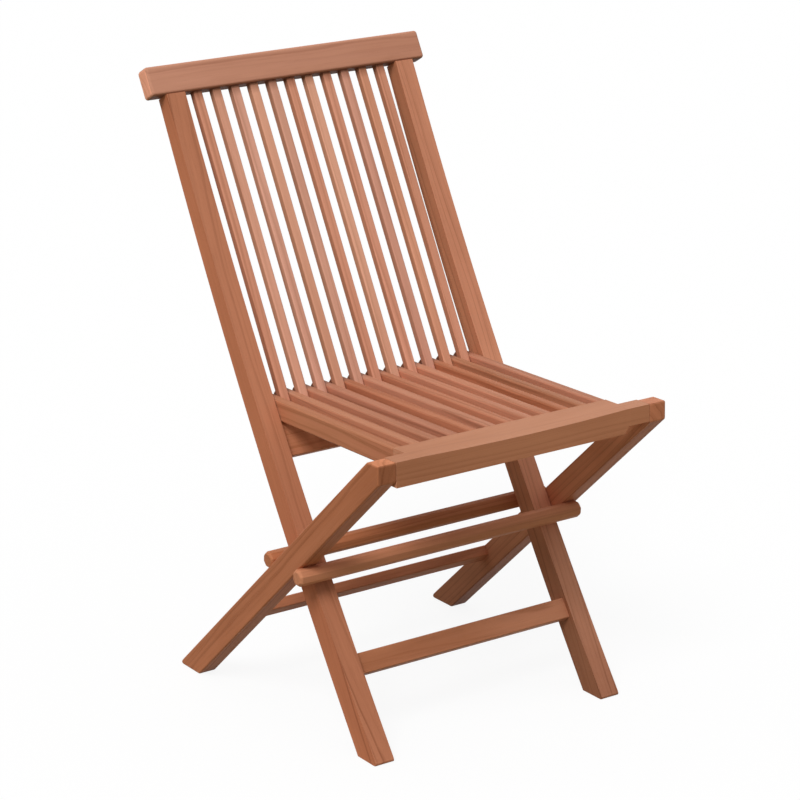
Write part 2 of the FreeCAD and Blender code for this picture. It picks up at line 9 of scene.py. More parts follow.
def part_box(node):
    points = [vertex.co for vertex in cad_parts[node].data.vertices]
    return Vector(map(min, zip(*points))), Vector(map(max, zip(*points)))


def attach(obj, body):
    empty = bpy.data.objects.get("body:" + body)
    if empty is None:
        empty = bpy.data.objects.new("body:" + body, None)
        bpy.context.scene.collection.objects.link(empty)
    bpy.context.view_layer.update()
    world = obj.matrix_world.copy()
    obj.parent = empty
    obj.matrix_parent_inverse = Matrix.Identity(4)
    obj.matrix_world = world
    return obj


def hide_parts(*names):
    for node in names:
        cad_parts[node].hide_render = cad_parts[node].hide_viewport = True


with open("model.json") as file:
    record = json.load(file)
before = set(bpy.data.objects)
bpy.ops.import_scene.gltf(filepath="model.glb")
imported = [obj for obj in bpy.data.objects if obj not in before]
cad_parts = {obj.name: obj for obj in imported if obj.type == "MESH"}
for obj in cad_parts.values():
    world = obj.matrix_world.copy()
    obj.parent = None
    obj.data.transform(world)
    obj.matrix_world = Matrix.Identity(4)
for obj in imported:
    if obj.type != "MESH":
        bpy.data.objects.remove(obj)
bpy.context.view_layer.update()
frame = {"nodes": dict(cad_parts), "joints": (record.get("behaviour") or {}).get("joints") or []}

nodes = frame["nodes"]
joints = {joint["name"]: joint for joint in frame["joints"]}
xAxis = Vector((1, 0, 0))
downwards = Vector((0, 0, -1))
samePlace = 1e-5    # metres within which two places of the frame are one
weldDistance = 1e-6    # metres within which two points of a mesh become one
print("frame loaded")


# How edges and faces of the frame are told apart.
reading = {
    "level": 0.1,    # an edge that climbs less than this part of its length counts as level
    "facing": 0.6, "sideways": 0.1,    # how much a face looks forwards or rearwards, and to the side
    "wide": 0.8,    # the part of a piece's width that a face of its edge line spans
    "decimals": 5,    # of a metre, to which places are rounded
}


# Measuring the frame. A piece's side profile lies in the plane of Y and Z.
def vertices(node):
    return np.array([vertex.co for vertex in nodes[node].data.vertices])


def hull(node):
    flat = [Vector(point[1:]) for point in vertices(node)]
    return [flat[index] for index in geometry.convex_hull_2d(flat)]


# The direction of a piece's longest side edge, upwards or rearwards, and the one square to it.
def pieceFrame(node):
    corners = hull(node)
    edges = [corners[(index + 1) % len(corners)] - corner for index, corner in enumerate(corners)]
    longest = max(edges, key=lambda edge: edge.length).normalized()
    level = reading["level"]
    if longest.y < -level or (abs(longest.y) <= level and longest.x < 0):
        longest = -longest
    return Vector((0, longest.x, longest.y)), Vector((0, longest.y, -longest.x))


# The lowest and highest place of a piece along each axis.
def spans(node, axes):
    points = vertices(node)
    return [((points @ np.array(axis)).min(), (points @ np.array(axis)).max()) for axis in axes]


# Front (-1) or rear (1) edge line of a bowed piece, as heights with their depths.
def edgeLine(node, facing):
    mesh = nodes[node].data
    low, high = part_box(node)
    wide = reading["wide"] * (high.x - low.x)
    found = set()
    for face in mesh.polygons:
        corners = [mesh.vertices[index].co for index in face.vertices]
        width = max(corner.x for corner in corners) - min(corner.x for corner in corners)
        looks = face.normal.y * facing > reading["facing"] and abs(face.normal.x) < reading["sideways"]
        if looks and width > wide:
            found.update(tuple(round(value, reading["decimals"]) for value in corner.zy) for corner in corners)
    points = sorted(found)
    return [z for z, y in points], [y for z, y in points]


# The line of the rear legs: their pivot, and the run from there to the seat's hinge.
def legLine():
    pivot, hinge = (Vector(joints[name]["pos_m"]) for name in ("leg_fold", "seat_fold"))
    return pivot, hinge - pivot


# Node helpers, for shaders and for geometry.
def newGroup(name, inputs, outputs):
    group = bpy.data.node_groups.new(name, "ShaderNodeTree")
    for socketName, kind, value in inputs:
        socket = group.interface.new_socket(socketName, in_out="INPUT", socket_type=kind)
        if value is not None:
            socket.default_value = value
    for socketName, kind in outputs:
        group.interface.new_socket(socketName, in_out="OUTPUT", socket_type=kind)
    return group, group.nodes.new("NodeGroupInput"), group.nodes.new("NodeGroupOutput")


def newMaterial(name):
    material = bpy.data.materials.new(name)
    material.use_nodes = True
    return material, material.node_tree, material.node_tree.nodes["Principled BSDF"]


def addNode(tree, kind, values=None, links=None, **settings):
    node = tree.nodes.new(kind)
    for key, value in settings.items():
        setattr(node, key, value)
    for key, value in (values or {}).items():
        node.inputs[key].default_value = value
    for key, source in (links or {}).items():
        tree.links.new(source, node.inputs[key])
    return node


def calculate(tree, operation, first, second=None):
    node = tree.nodes.new("ShaderNodeMath")
    node.operation = operation
    for index, value in enumerate((first, second)):
        if isinstance(value, (int, float)):
            node.inputs[index].default_value = value
        elif value is not None:
            tree.links.new(value, node.inputs[index])
    return node.outputs[0]


def plus(tree, first, second):
    return calculate(tree, "ADD", first, second)


def minus(tree, first, second):
    return calculate(tree, "SUBTRACT", first, second)


def times(tree, first, second):
    return calculate(tree, "MULTIPLY", first, second)


def stretched(tree, vector, scale):
    node = addNode(tree, "ShaderNodeVectorMath", {1: scale}, {0: vector}, operation="MULTIPLY")
    return node.outputs[0]


def noise(tree, vector, look):
    values = {"Scale": 1.0, "Detail": look["detail"], "Roughness": look["roughness"]}
    links = {"Vector": stretched(tree, vector, look["scale"])}
    return addNode(tree, "ShaderNodeTexNoise", values, links).outputs["Fac"]


def remap(tree, value, low, high, newLow=0.0, newHigh=1.0):
    values = {"From Min": low, "From Max": high, "To Min": newLow, "To Max": newHigh}
    return addNode(tree, "ShaderNodeMapRange", values, {"Value": value}).outputs[0]


# The numbers are the Mix node's sockets for the factor and the two colours.
def blendColor(tree, factor, first, second, mode="MIX"):
    node = tree.nodes.new("ShaderNodeMix")
    node.data_type = "RGBA"
    node.blend_type = mode
    for index, value in ((0, factor), (6, first), (7, second)):
        if isinstance(value, (int, float, tuple)):
            node.inputs[index].default_value = value
        else:
            tree.links.new(value, node.inputs[index])
    return node.outputs[2]


# Figure of sanded teak, with lengths in metres. Scales are in waves a metre: across, out and along the grain.
teakFigure = {
    "pithAway": 0.05,
    "pithLean": 0.02,
    "bend": {"scale": (7.0, 7.0, 1.3), "detail": 2.0, "roughness": 0.5, "depth": 0.03},
    "sway": {"scale": (45.0, 45.0, 3.5), "detail": 3.0, "roughness": 0.5, "depth": 0.009},
    "rings": {"perMetre": 190.0, "detail": 2.0, "roughness": 0.6, "shade": 0.3},
    "line": {"start": 0.52, "end": 0.74, "height": 0.3},    # the dark late wood of each ring
    "fibre": {
        "scale": (380.0, 380.0, 9.0), "detail": 3.0, "roughness": 0.6, "shade": 0.26, "dull": 0.14, "height": 0.6},
    "pore": {
        "scale": (950.0, 950.0, 24.0), "detail": 1.0, "roughness": 0.5, "start": 0.63, "end": 0.73,
        "shade": 0.14, "dull": 0.12},
    "patch": {"scale": (14.0, 14.0, 2.4), "detail": 3.0, "roughness": 0.55, "shade": 1.15},
    "worn": {"least": 0.1, "shade": 0.15},    # rounded edges are a little lighter
    "endGrain": {"shade": 0.38, "dull": 0.15},
    "baseShade": 0.3,
    "baseRoughness": 0.47,
    "hue": (0.4975, 0.5035),
    "saturation": (0.94, 1.05),
    "seedStep": 3.7,
    "seedOffsets": {"turn": 5.1, "lean": 9.7, "value": 1.3, "hue": 41.3, "saturation": 17.9},
    "bumpStrength": 0.3,
    "bumpDepth": 0.0003,
    "specularLevel": 0.08,
}


# A random number from 0 to 1 for a piece's seed, a different one for each use.
def randomValue(tree, seed, use):
    moved = plus(tree, seed, teakFigure["seedOffsets"][use])
    return addNode(tree, "ShaderNodeTexWhiteNoise", links={"W": moved}, noise_dimensions="1D").outputs["Value"]


# Growth rings round a leaning pith beside the piece, with fibres, pores and patches of tone.
def makeTeakGroup():
    group, enter, leave = newGroup("teakFigure", [
        ("Grain", "NodeSocketVector", None),
        ("Seed", "NodeSocketFloat", 0.0),
        ("Light", "NodeSocketColor", (0.5, 0.22, 0.14, 1)),
        ("Dark", "NodeSocketColor", (0.3, 0.12, 0.07, 1)),
        ("Ring Strength", "NodeSocketFloat", 0.5),
        ("Tone Spread", "NodeSocketFloat", 0.2),
        ("Tone", "NodeSocketColor", (1.0, 1.0, 1.0, 1)),
        ("Edge", "NodeSocketFloat", 0.0),
        ("End Grain", "NodeSocketFloat", 0.0),
    ], [("Color", "NodeSocketColor"), ("Roughness", "NodeSocketFloat"), ("Height", "NodeSocketFloat")])
    grain, seed, endGrain = (enter.outputs[name] for name in ("Grain", "Seed", "End Grain"))
    along = addNode(group, "ShaderNodeSeparateXYZ", links={0: grain}).outputs["Z"]
    shift = times(group, seed, teakFigure["seedStep"])
    shifted = addNode(group, "ShaderNodeCombineXYZ", links={"X": shift, "Y": shift, "Z": shift}).outputs[0]
    place = addNode(group, "ShaderNodeVectorMath", links={0: grain, 1: shifted}, operation="ADD").outputs[0]

    # The pith's side of the piece and its lean come from the seed.
    turn = times(group, randomValue(group, seed, "turn"), math.tau)
    lean = minus(group, randomValue(group, seed, "lean"), 0.5)
    leaning = times(group, times(group, lean, along), teakFigure["pithLean"] * 2)
    away = plus(group, leaning, teakFigure["pithAway"])
    centre = addNode(group, "ShaderNodeCombineXYZ", links={
        "X": times(group, calculate(group, "COSINE", turn), away),
        "Y": times(group, calculate(group, "SINE", turn), away)}).outputs[0]
    flat = stretched(group, grain, (1.0, 1.0, 0.0))
    distance = addNode(
        group, "ShaderNodeVectorMath", links={0: flat, 1: centre}, operation="DISTANCE").outputs["Value"]
    for wave in ("bend", "sway"):
        moved = times(group, noise(group, place, teakFigure[wave]), teakFigure[wave]["depth"])
        distance = plus(group, distance, moved)
    ringLook, lineLook, poreLook = teakFigure["rings"], teakFigure["line"], teakFigure["pore"]
    rings = addNode(group, "ShaderNodeTexNoise", {
        "Scale": 1.0, "Detail": ringLook["detail"], "Roughness": ringLook["roughness"]}, {
        "W": plus(group, times(group, distance, ringLook["perMetre"]), shift)}, noise_dimensions="1D").outputs["Fac"]
    line = remap(group, rings, lineLook["start"], lineLook["end"])

    fibre = noise(group, place, teakFigure["fibre"])
    pore = remap(group, noise(group, place, poreLook), poreLook["start"], poreLook["end"])
    patch = noise(group, place, teakFigure["patch"])

    # Everything that darkens the wood, from 0 for the light tone to 1 for the dark one.
    shade = times(group, line, enter.outputs["Ring Strength"])
    for part, name in ((rings, "rings"), (fibre, "fibre"), (patch, "patch")):
        shade = plus(group, shade, times(group, minus(group, part, 0.5), teakFigure[name]["shade"]))
    shade = plus(group, shade, times(group, pore, poreLook["shade"]))
    shade = plus(group, shade, teakFigure["baseShade"])
    worn = times(group, enter.outputs["Edge"], plus(group, patch, teakFigure["worn"]["least"]))
    shade = minus(group, shade, times(group, worn, teakFigure["worn"]["shade"]))
    shade = remap(group, shade, 0.0, 1.0)
    color = blendColor(group, shade, enter.outputs["Light"], enter.outputs["Dark"])

    # Each piece differs a little in value, hue and saturation.
    spread = times(group, minus(group, randomValue(group, seed, "value"), 0.5), enter.outputs["Tone Spread"])
    value = minus(group, plus(group, spread, 1.0), times(group, endGrain, teakFigure["endGrain"]["shade"]))
    toned = addNode(group, "ShaderNodeHueSaturation", links={
        "Hue": remap(group, randomValue(group, seed, "hue"), 0.0, 1.0, *teakFigure["hue"]),
        "Saturation": remap(group, randomValue(group, seed, "saturation"), 0.0, 1.0, *teakFigure["saturation"]),
        "Value": value,
        "Color": color,
    })
    # Tone brings in each piece's tone together with its painted light and shade.
    tinted = blendColor(group, 1.0, toned.outputs[0], enter.outputs["Tone"], "MULTIPLY")
    rough = plus(group, times(group, fibre, teakFigure["fibre"]["dull"]), times(group, pore, poreLook["dull"]))
    rough = plus(group, rough, times(group, endGrain, teakFigure["endGrain"]["dull"]))
    rough = plus(group, rough, teakFigure["baseRoughness"])
    height = minus(group, times(group, fibre, teakFigure["fibre"]["height"]), plus(
        group, pore, times(group, line, lineLook["height"])))
    for name, result in (("Color", tinted), ("Roughness", rough), ("Height", height)):
        group.links.new(result, leave.inputs[name])
    return group


def makeTeak(name, light, dark, ringStrength, toneSpread):
    material, tree, shader = newMaterial(name)
    figure = tree.nodes.new("ShaderNodeGroup")
    figure.node_tree = teakGroup
    # The tone attribute holds each piece's tone with its painted light and shade.
    for attribute, socket, output in (
            ("grain", "Grain", "Vector"), ("seed", "Seed", "Fac"), ("tone", "Tone", "Color"),
            ("edge", "Edge", "Fac"), ("endGrain", "End Grain", "Fac")):
        source = addNode(tree, "ShaderNodeAttribute", attribute_name=attribute)
        tree.links.new(source.outputs[output], figure.inputs[socket])
    figure.inputs["Light"].default_value = (*light, 1)
    figure.inputs["Dark"].default_value = (*dark, 1)
    figure.inputs["Ring Strength"].default_value = ringStrength
    figure.inputs["Tone Spread"].default_value = toneSpread
    bump = addNode(
        tree, "ShaderNodeBump", {"Strength": teakFigure["bumpStrength"], "Distance": teakFigure["bumpDepth"]},
        {"Height": figure.outputs["Height"]})
    tree.links.new(figure.outputs["Color"], shader.inputs["Base Color"])
    tree.links.new(figure.outputs["Roughness"], shader.inputs["Roughness"])
    tree.links.new(bump.outputs[0], shader.inputs["Normal"])
    shader.inputs["Specular IOR Level"].default_value = teakFigure["specularLevel"]
    return material


teakGroup = makeTeakGroup()
teaks = {
    "frameTeak": {
        "light": (0.59, 0.235, 0.125), "dark": (0.34, 0.118, 0.055), "ringStrength": 0.5, "toneSpread": 0.04},
    "railTeak": {
        "light": (0.655, 0.295, 0.18), "dark": (0.44, 0.175, 0.095), "ringStrength": 0.4, "toneSpread": 0.04},
    "slatTeak": {
        "light": (0.69, 0.315, 0.2), "dark": (0.43, 0.17, 0.095), "ringStrength": 0.35, "toneSpread": 0.1},
    "seatTeak": {
        "light": (0.54, 0.225, 0.13), "dark": (0.32, 0.118, 0.058), "ringStrength": 0.45, "toneSpread": 0.18},
}
materials = {name: makeTeak(name, **look) for name, look in teaks.items()}
print("wood made")


# Join two equal rings of points with faces.
def bridge(made, first, second):
    for index in range(len(first)):
        following = (index + 1) % len(first)
        made.faces.new((first[index], first[following], second[following], second[index]))


# A solid drawn as a side profile of (Y, Z) points and pulled out along X from low to high.
def prism(profile, low, high):
    made = bmesh.new()
    near = [made.verts.new((low, *point)) for point in profile]
    far = [made.verts.new((high, *point)) for point in profile]
    made.faces.new(near)
    made.faces.new(far)
    bridge(made, near, far)
    bmesh.ops.recalc_face_normals(made, faces=made.faces)
    return made


# Profile points from places given out and along in a piece's own frame.
def placed(out, along, places):
    return [(out.y * a + along.y * b, out.z * a + along.z * b) for a, b in places]


def boxCorners(outward, upward):
    return [(outward[0], upward[0]), (outward[1], upward[0]), (outward[1], upward[1]), (outward[0], upward[1])]


def middleOf(out, along, outward, upward):
    return out * (sum(outward) / 2) + along * (sum(upward) / 2)


surfaceLook = {
    "keptSharp": 35.0,    # degrees between faces from which an edge stays crisp
    "roundedWidth": 0.0032,    # the widest strip that counts as part of a rounded edge
    "paintedSideShare": (0.75, 0.95),    # how squarely a face looks along a side's direction before it takes that side's painted light or shade
    "endShare": (0.35, 0.7),    # how squarely a face cuts the grain before it shows end grain
    "endFacing": 0.5,    # how squarely it also looks the given way, where end grain darkens one side alone, partly as painted shade
}


# Round the sharp edges, apart from those whose middle a test picks out.
def soften(made, width, segments=3, sharpest=25.0, leave=None):
    wanted = [edge for edge in made.edges if math.degrees(edge.calc_face_angle(0)) > sharpest]
    if leave:
        wanted = [edge for edge in wanted if not leave((edge.verts[0].co + edge.verts[1].co) / 2)]
    bmesh.ops.bevel(
        made, geom=wanted, offset=width, segments=segments, profile=0.5, affect="EDGES", clamp_overlap=True)
    bmesh.ops.dissolve_degenerate(made, dist=weldDistance, edges=made.edges)
    bmesh.ops.recalc_face_normals(made, faces=made.faces)
    for edge in made.edges:
        edge.smooth = math.degrees(edge.calc_face_angle(0)) < surfaceLook["keptSharp"]


def storeValues(mesh, name, kind, domain, key, values):
    mesh.attributes.new(name, kind, domain)
    mesh.attributes[name].data.foreach_set(key, np.array(values, dtype=np.float32).ravel())


def between(value, start, end):
    return min(1.0, max(0.0, (value - start) / (end - start)))


# Store each point's place across, out from and along the grain, its rounded edges and its end grain.
def grainTo(mesh, axes, origin, seed, endShade=0.0, facing=None):
    ends, rounded = [], []
    for face in mesh.polygons:
        points = [mesh.vertices[index].co for index in face.vertices]
        longest = max((first - second).length for first, second in zip(points, points[1:] + points[:1]))
        rounded.append(1.0 if face.area < surfaceLook["roundedWidth"] * longest else 0.0)
        share = between(abs(face.normal.dot(axes[2])), *surfaceLook["endShare"])
        # With a facing given, only faces looking that way show the darker end grain: real end grain, partly painted
        # shade.
        if facing and face.normal.dot(Vector(facing)) < surfaceLook["endFacing"]:
            share = 0.0
        ends.append(share * endShade)
    places = [[(vertex.co - origin).dot(axis) for axis in axes] for vertex in mesh.vertices]
    storeValues(mesh, "grain", "FLOAT_VECTOR", "POINT", "vector", places)
    storeValues(mesh, "edge", "FLOAT", "FACE", "value", rounded)
    storeValues(mesh, "endGrain", "FLOAT", "FACE", "value", ends)
    storeValues(mesh, "seed", "FLOAT", "POINT", "value", [seed] * len(mesh.vertices))


# Store the piece's own tone with painted light and shade. A side is a direction with its tone, painted on faces
# that look that way, and a ramp is a direction, the two places along it between which the tone comes in, and that
# tone, painted light or shade along the piece.
def storeToneAndPaintedShading(mesh, tone, sides=(), paintedShadingRamps=()):
    tones = []
    for face in mesh.polygons:
        base = np.array(tone)
        # Painted light or shade by the way a face looks.
        for direction, paintedSideTone in sides:
            share = between(face.normal.dot(Vector(direction)), *surfaceLook["paintedSideShare"])
            base = base * (1 + (np.array(paintedSideTone) - 1) * share)
        for index in face.vertices:
            value = base
            # Painted light or shade along the piece.
            for direction, start, end, paintedRampTone in paintedShadingRamps:
                share = between(mesh.vertices[index].co.dot(direction), start, end)
                value = value * (1 + (np.array(paintedRampTone) - 1) * share)
            tones.append((*value, 1.0))
    storeValues(mesh, "tone", "FLOAT_COLOR", "CORNER", "color", tones)


# Ramps of painted light or shade on the way down a piece, from pairs of heights with the tone that comes in between
# them.
def rampsDown(heights):
    return [(downwards, -start, -end, tone) for start, end, tone in heights]


# Cut the faces where the ramps of painted light or shade start and end, so that the tone has points to change at.
def cutForRamps(made, paintedShadingRamps):
    for direction, start, end, tone in paintedShadingRamps:
        for place in (start, end):
            everything = made.verts[:] + made.edges[:] + made.faces[:]
            bmesh.ops.bisect_plane(
                made, geom=everything, dist=weldDistance, plane_co=direction * place, plane_no=direction)


def applyModifiers(piece):
    bpy.context.view_layer.update()
    finished = bpy.data.meshes.new_from_object(piece.evaluated_get(bpy.context.evaluated_depsgraph_get()))
    piece.modifiers.clear()
    piece.data = finished


# Turn a rounded solid into a smooth piece of wood, with its flat faces kept flat.
def finishPiece(made, name, material, grain, tone):
    mesh = bpy.data.meshes.new(name)
    made.to_mesh(mesh)
    made.free()
    grainTo(mesh, *grain)
    storeToneAndPaintedShading(mesh, *tone)
    for face in mesh.polygons:
        face.use_smooth = True
    piece = bpy.data.objects.new(name, mesh)
    bpy.context.scene.collection.objects.link(piece)
    mesh.materials.append(materials[material])
    piece.modifiers.new("weighted", "WEIGHTED_NORMAL").keep_sharp = True
    applyModifiers(piece)
    return piece


def fit(piece, body, slot, *replaced):
    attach(piece, body)
    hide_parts(*replaced)
    return piece


# Geometry Nodes: a row of copies of one piece along X, each with a seed of its own.
def makeRowGroup():
    group = bpy.data.node_groups.new("pieceRow", "GeometryNodeTree")
    sockets = (
        ("Geometry", "NodeSocketGeometry"), ("Count", "NodeSocketInt"), ("Pitch", "NodeSocketFloat"),
        ("First Seed", "NodeSocketFloat"), ("Material", "NodeSocketMaterial"),
    )
    for socketName, kind in sockets:
        group.interface.new_socket(socketName, in_out="INPUT", socket_type=kind)
    group.interface.new_socket("Geometry", in_out="OUTPUT", socket_type="NodeSocketGeometry")
    enter, leave = group.nodes.new("NodeGroupInput"), group.nodes.new("NodeGroupOutput")
    count, pitch = enter.outputs["Count"], enter.outputs["Pitch"]
    start = times(group, times(group, minus(group, count, 1), pitch), -0.5)
    first = addNode(group, "ShaderNodeCombineXYZ", links={"X": start})
    step = addNode(group, "ShaderNodeCombineXYZ", links={"X": pitch})
    line = addNode(group, "GeometryNodeMeshLine", links={
        "Count": count, "Start Location": first.outputs[0], "Offset": step.outputs[0]})
    row = addNode(group, "GeometryNodeInstanceOnPoints", links={
        "Points": line.outputs[0], "Instance": enter.outputs["Geometry"]})
    number = group.nodes.new("GeometryNodeInputIndex")
    seeds = plus(group, number.outputs[0], enter.outputs["First Seed"])
    seeded = addNode(group, "GeometryNodeStoreNamedAttribute", {"Name": "rowSeed"}, {
        "Geometry": row.outputs[0], "Value": seeds}, data_type="FLOAT", domain="INSTANCE")
    real = addNode(group, "GeometryNodeRealizeInstances", links={"Geometry": seeded.outputs[0]})
    carried = addNode(group, "GeometryNodeInputNamedAttribute", {"Name": "rowSeed"}, data_type="FLOAT")
    named = addNode(group, "GeometryNodeStoreNamedAttribute", {"Name": "seed"}, {
        "Geometry": real.outputs[0], "Value": carried.outputs[0]}, data_type="FLOAT", domain="POINT")
    painted = addNode(group, "GeometryNodeSetMaterial", links={
        "Geometry": named.outputs[0], "Material": enter.outputs["Material"]})
    group.links.new(painted.outputs[0], leave.inputs[0])
    return group


rowGroup = makeRowGroup()


# Turn one middle piece into its row, as a single mesh, and give the names of the row's nodes.
def makeRow(piece, prefix, seed):
    members = sorted(name for name in nodes if name.startswith(prefix + "_"))
    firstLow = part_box(f"{prefix}_01")[0]
    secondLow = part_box(f"{prefix}_02")[0]
    settings = {
        "Count": len(members), "Pitch": secondLow.x - firstLow.x, "First Seed": seed,
        "Material": piece.data.materials[0]}
    modifier = piece.modifiers.new("row", "NODES")
    modifier.node_group = rowGroup
    for item in rowGroup.interface.items_tree:
        if item.in_out == "INPUT" and item.name in settings:
            modifier[item.identifier] = settings[item.name]
    applyModifiers(piece)
    return members


# Stiles: bowed, flat-footed, ending under the top rail. A ramp is two heights and the tone that comes in
# between them on the way down, as painted light or shade.
stileLook = {
    "round": 0.0045, "footRound": 0.008, "footSegments": 4, "footSharpest": 100.0,
    "steps": 26, "halvings": 40,
    "seeds": {"left": 3.0, "right": 11.0},
    "tones": {"left": (0.99, 0.92, 0.87), "right": (1.2, 1.2, 1.28)},
    # Painted light and shade on faces looking left: lighter on the left stile's outer side, darker on the right
    # stile's inner side.
    "sides": {"left": (((-1, 0, 0), (1.12, 1.0, 0.92)),), "right": (((-1, 0, 0), (0.84, 0.8, 0.72)),)},
    # Painted light below the seat on the right stile, then painted shade further down towards the foot.
    "paintedShadingRamps": {"left": (), "right": (
        (0.46, 0.4, (1.14, 1.18, 1.2)), (0.24, 0.14, (0.7, 0.71, 0.71)), (0.1, 0.03, (0.82, 0.78, 0.76)))},
}


def makeStile(side):
    node = f"stile_{side}"
    low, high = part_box(node)
    railAlong = pieceFrame("top_rail")[0]
    railBottom = spans("top_rail", [railAlong])[0][0]

    # Points up an edge line, to the height at which it meets the plane of the rail's underside.
    def edgePoints(facing):
        heights, depths = edgeLine(node, facing)
        below, above = heights[0], heights[-1]
        for halving in range(stileLook["halvings"]):
            middle = (below + above) / 2
            level = np.interp(middle, heights, depths) * railAlong.y + middle * railAlong.z
            below, above = (middle, above) if level < railBottom else (below, middle)
        top = (below + above) / 2
        return [(np.interp(z, heights, depths), z) for z in np.linspace(0, top, stileLook["steps"])]

    front, rear = edgePoints(-1), edgePoints(1)
    made = prism(front + rear[::-1], low.x, high.x)
    soften(made, stileLook["footRound"], stileLook["footSegments"], stileLook["footSharpest"])
    # The shoulder under the rail stays sharp.
    shoulder = min(front[-1][1], rear[-1][1]) - stileLook["round"]
    soften(made, stileLook["round"], leave=lambda middle: middle.z > shoulder)
    chord = Vector((0, front[-1][0] - front[0][0], front[-1][1] - front[0][1])).normalized()
    square = Vector((0, chord.z, -chord.y))
    origin = Vector(((low.x + high.x) / 2, *front[0]))
    piece = finishPiece(
        made, f"{node}_wood", "frameTeak", ((xAxis, square, chord), origin, stileLook["seeds"][side]),
        (stileLook["tones"][side], stileLook["sides"][side], rampsDown(stileLook["paintedShadingRamps"][side])))
    return fit(piece, "back_frame", "frame_wood", node)


# Rails and stretchers: straight bars along X with the section of their CAD pieces.
def makeBar(node, look):
    along, out = pieceFrame(node)
    across, outward, upward = spans(node, (xAxis, out, along))
    made = prism(placed(out, along, boxCorners(outward, upward)), *across)
    soften(made, look["round"])
    cutForRamps(made, look["paintedShadingRamps"])
    piece = finishPiece(
        made, f"{node}_wood", look["material"],
        ((along, out, xAxis), middleOf(out, along, outward, upward), look["seed"]),
        (look["tone"], look["sides"], look["paintedShadingRamps"]))
    return fit(piece, look["body"], look["slot"], node)


bars = {
    "top_rail": {
        "round": 0.0045, "seed": 21.0, "tone": (1.0, 1.0, 1.02),
        # Painted light and shade: the left end lighter, the underside and the lower front edge darker.
        "sides": (
            ((-1, 0, 0), (1.55, 1.5, 1.5)),
            ((0, -0.26, -0.966), (0.35, 0.32, 0.3)),
            ((0, -0.867, -0.5), (0.7, 0.66, 0.62))),
        "paintedShadingRamps": (), "material": "railTeak", "body": "back_frame", "slot": "rail_wood"},
    "lower_back_rail": {
        "round": 0.002, "seed": 22.0, "tone": (1.0, 0.95, 0.85), "sides": (), "paintedShadingRamps": (),
        "material": "railTeak", "body": "back_frame", "slot": "rail_wood"},
    "front_foot_stretcher": {
        "round": 0.002, "seed": 23.0, "tone": (0.88, 0.96, 1.0), "sides": (),
        # Painted light: lighter towards the right end.
        "paintedShadingRamps": ((xAxis, 0.0, 0.1, (1.2, 1.28, 1.4)),),
        "material": "frameTeak", "body": "back_frame", "slot": "frame_wood"},
    "rear_leg_stretcher": {
        "round": 0.002, "seed": 24.0, "tone": (1.0, 0.95, 0.85), "sides": (), "paintedShadingRamps": (),
        "material": "frameTeak", "body": "leg_frame", "slot": "frame_wood"},
}


# The top ramp is two distances below the top rail and the tone that comes in between them: a painted shadow of the
# rail.
# Faces looking left are painted darker, as shade between the slats.
backSlatLook = {
    "round": 0.0022, "seed": 40.0, "tone": (1.13, 1.2, 1.28),
    "sides": (((-1, 0, 0), (0.8, 0.77, 0.72)),), "paintedRailShadow": (0.016, 0.001, (0.55, 0.5, 0.46)),
}


# One middle slat, repeated across the back.
def makeBackSlats():
    node = "back_slat_06"
    along, out = pieceFrame(node)
    across, outward, upward = spans(node, (xAxis, out, along))
    made = prism(placed(out, along, boxCorners(outward, upward)), *across)
    soften(made, backSlatLook["round"])
    railBottom = spans("top_rail", [along])[0][0]
    start, end, shade = backSlatLook["paintedRailShadow"]
    paintedShadingRamps = ((along, railBottom - start, railBottom - end, shade),)
    cutForRamps(made, paintedShadingRamps)
    piece = finishPiece(
        made, "back_slats_wood", "slatTeak", ((xAxis, out, along), middleOf(out, along, outward, upward), 0.0),
        (backSlatLook["tone"], backSlatLook["sides"], paintedShadingRamps))
    members = makeRow(piece, "back_slat", backSlatLook["seed"])
    return fit(piece, "back_frame", "slat_wood", *members)


# The rear ramp is two distances from the slats' rear ends and the tone that comes in between them: painted shade
# between the back slats. Faces looking left are painted lighter.
seatSlatLook = {
    "round": 0.0028, "endCut": 0.009, "seed": 60.0, "tone": (1.04, 1.05, 1.04),
    "sides": (((-1, 0, 0), (1.24, 1.18, 1.16)),), "paintedRearShade": (0.042, 0.02, (0.5, 0.47, 0.44)),
}


# One slat as if on the middle line, repeated across the seat.
def makeSeatSlats():
    node = "seat_slat_01"
    along, out = pieceFrame(node)
    across, outward, upward = spans(node, (xAxis, out, along))
    railRear = spans("seat_front_rail", [along])[0][1]
    half = (across[1] - across[0]) / 2
    cut = seatSlatLook["endCut"]
    corners = [
        (outward[0], railRear), (outward[1], railRear), (outward[1], upward[1] - cut),
        (outward[1] - cut, upward[1]), (outward[0] + cut, upward[1]), (outward[0], upward[1] - cut)]
    made = prism(placed(out, along, corners), -half, half)
    soften(made, seatSlatLook["round"])
    start, end, shade = seatSlatLook["paintedRearShade"]
    paintedShadingRamps = ((along, upward[1] - start, upward[1] - end, shade),)
    cutForRamps(made, paintedShadingRamps)
    piece = finishPiece(
        made, "seat_slats_wood", "seatTeak", ((xAxis, out, along), middleOf(out, along, outward, upward), 0.0),
        (seatSlatLook["tone"], seatSlatLook["sides"], paintedShadingRamps))
    members = makeRow(piece, "seat_slat", seatSlatLook["seed"])
    return fit(piece, "seat", "slat_wood", *members)


